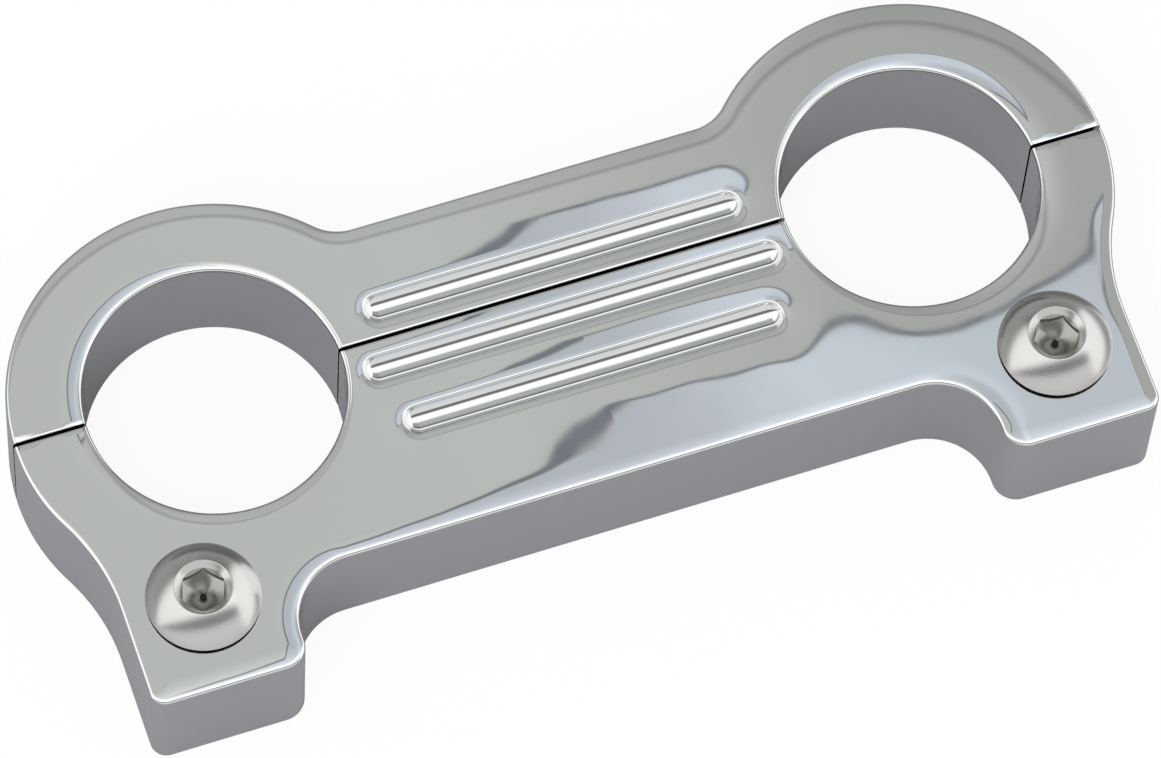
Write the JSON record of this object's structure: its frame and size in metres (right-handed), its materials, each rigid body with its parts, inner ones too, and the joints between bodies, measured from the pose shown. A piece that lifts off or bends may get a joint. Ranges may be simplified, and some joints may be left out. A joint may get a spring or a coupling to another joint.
{
  "type": "gauge mount adapter",
  "caption": "Split chrome clamp plate that grips handlebar risers and carries a gauge bracket on its feet, with milled flutes and button head screws.",
  "frame": {"origin": "midway between the two riser bore centres, on the back face of the lower half", "axes": "+X from the left riser bore to the right one, +Y away from the feet, +Z along the bores and out of the fluted front face"},
  "size_m": [0.139, 0.0621, 0.0202],
  "materials": {
    "chrome_plate": "mirror polished chrome plate on aluminium",
    "stainless_screw": "bright turned stainless steel"
  },
  "bodies": {
    "root": {"upper_half": "chrome_plate", "lower_half": "chrome_plate", "gauge_screw_left": "stainless_screw", "gauge_screw_right": "stainless_screw", "clamp_screw_left": "stainless_screw", "clamp_screw_right": "stainless_screw"}
  },
  "joints": []
}
